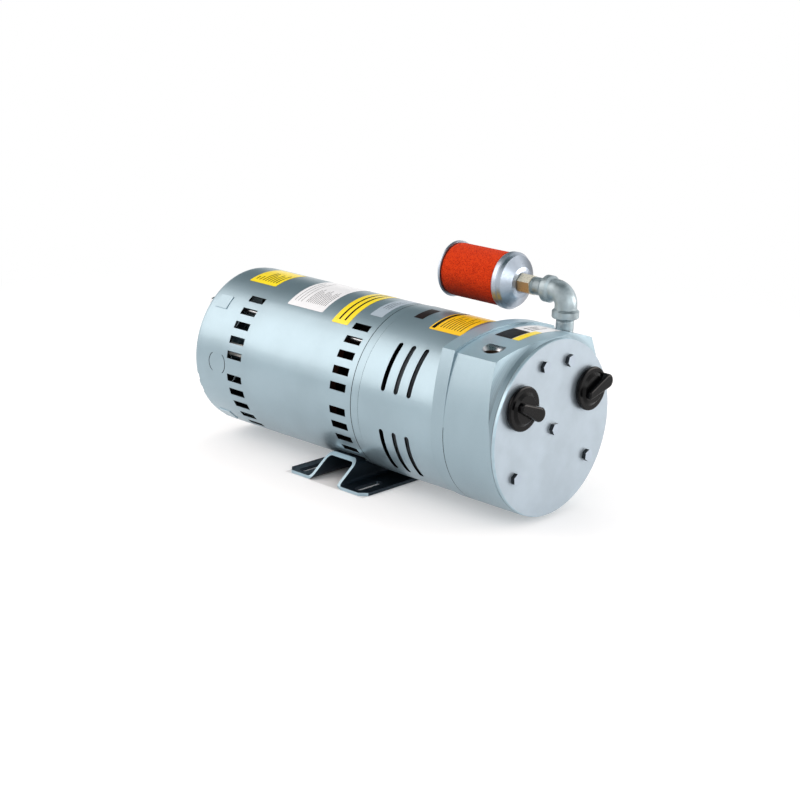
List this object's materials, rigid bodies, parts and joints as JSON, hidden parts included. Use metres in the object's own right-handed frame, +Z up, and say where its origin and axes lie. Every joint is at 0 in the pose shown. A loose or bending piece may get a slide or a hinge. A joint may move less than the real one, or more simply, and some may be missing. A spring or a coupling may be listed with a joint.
{
  "type": "rotary vane vacuum pump",
  "caption": "Foot-mounted electric motor driving an oil-less rotary vane vacuum pump, with screw filter caps and a foam inlet filter on an elbow.",
  "frame": {"origin": "centre of the foot's slot pattern, on the floor", "axes": "+Z up; the shaft lies along Y with the pump head facing -Y; +X is the intake port's side"},
  "size_m": [0.17, 0.4225, 0.2307],
  "materials": {
    "paint_steel": "light silver blue-grey metallic enamel, satin gloss",
    "paint_cast": "light silver blue-grey metallic enamel over a casting",
    "cast_iron": "bare machined grey iron",
    "steel": "bright zinc-plated steel",
    "laminations": "stacked electrical steel, oiled",
    "copper": "varnished copper wire",
    "lead": "white insulated wire",
    "board": "phenolic board",
    "can": "black moulded case",
    "fan_alloy": "as-cast aluminium",
    "knob_black": "black moulded plastic, glossy",
    "rubber": "black rubber",
    "gasket": "fibre sheet",
    "felt": "pressed wool felt",
    "carbon": "self-lubricating carbon",
    "galvanised": "hot-dip galvanised, dull grey",
    "bright_tin": "bright spun tin-plated sheet",
    "foam_red": "orange-red reticulated foam"
  },
  "bodies": {
    "casing": {"motor_shell": "paint_steel", "rear_end_shield": "paint_cast", "front_end_shield": "paint_cast", "stator_core": "laminations", "stator_windings": "copper", "lead_wires": "lead", "terminal_board": "board", "capacitor": "can", "switch_plate": "board", "through_bolts": "steel", "rear_bearing": "steel", "front_bearing": "steel", "foot": "paint_steel", "fan_shroud": "paint_steel", "drive_plate": "cast_iron", "pump_cylinder": "cast_iron", "tie_bolts": "steel", "port_plate": "paint_cast", "pump_bearing": "steel", "head_casting": "paint_cast", "cover_gasket": "gasket", "end_cover": "paint_cast", "cover_bolts": "steel", "exhaust_felt": "felt", "intake_felt": "felt", "pipe_nipple": "galvanised", "pipe_elbow": "galvanised", "close_nipple": "galvanised", "filter_neck": "steel", "filter_cone": "bright_tin", "filter_core": "steel", "filter_foam": "foam_red", "filter_end_cap": "bright_tin", "filter_rod": "steel", "filter_nut": "steel"},
    "rotor_set": {"shaft": "steel", "motor_rotor": "laminations", "cooling_fan": "fan_alloy", "pump_rotor": "cast_iron", "rotor_key": "steel"},
    "spool": {"switch_spool": "board"},
    "vane_1": {"vane_1": "carbon"},
    "vane_2": {"vane_2": "carbon"},
    "vane_3": {"vane_3": "carbon"},
    "vane_4": {"vane_4": "carbon"},
    "exhaust_ring": {"exhaust_cap_ring": "rubber"},
    "exhaust_cap": {"exhaust_cap": "knob_black"},
    "intake_ring": {"intake_cap_ring": "rubber"},
    "intake_cap": {"intake_cap": "knob_black"}
  },
  "joints": [
    {"name": "rotor_spin", "type": "hinge", "parent": "casing", "child": "rotor_set", "pos_m": [0, 0, 0.0889], "axis": [0, -1, 0], "continuous": true},
    {"name": "switch_throw", "type": "slide", "parent": "rotor_set", "child": "spool", "axis": [0, -1, 0], "range_m": [0, 0.0025], "stiffness_N_per_m": 200},
    {"name": "vane_1_slide", "type": "slide", "parent": "rotor_set", "child": "vane_1", "axis": [0.5446, 0, 0.8387], "range_m": [0, 0.0014]},
    {"name": "vane_2_slide", "type": "slide", "parent": "rotor_set", "child": "vane_2", "axis": [-0.8387, 0, 0.5446], "range_m": [0, 0.0014]},
    {"name": "vane_3_slide", "type": "slide", "parent": "rotor_set", "child": "vane_3", "axis": [-0.5446, 0, -0.8387], "range_m": [0, 0.0014]},
    {"name": "vane_4_slide", "type": "slide", "parent": "rotor_set", "child": "vane_4", "axis": [0.8387, 0, -0.5446], "range_m": [0, 0.0014]},
    {"name": "exhaust_cap_lift", "type": "slide", "parent": "casing", "child": "exhaust_ring", "axis": [0, -1, 0], "range_m": [0, 0.009]},
    {"name": "exhaust_cap_turn", "type": "hinge", "parent": "exhaust_ring", "child": "exhaust_cap", "pos_m": [-0.05, -0.21, 0.1184], "axis": [0, -1, 0], "range_deg": [0, 1083]},
    {"name": "intake_cap_lift", "type": "slide", "parent": "casing", "child": "intake_ring", "axis": [0, -1, 0], "range_m": [0, 0.009]},
    {"name": "intake_cap_turn", "type": "hinge", "parent": "intake_ring", "child": "intake_cap", "pos_m": [0.05, -0.21, 0.1184], "axis": [0, -1, 0], "range_deg": [0, 1083]}
  ],
  "couplings": [
    {"joint": "exhaust_cap_turn", "follows": "exhaust_cap_lift", "rad_per_m": 2094.4},
    {"joint": "intake_cap_turn", "follows": "intake_cap_lift", "rad_per_m": 2094.4}
  ]
}
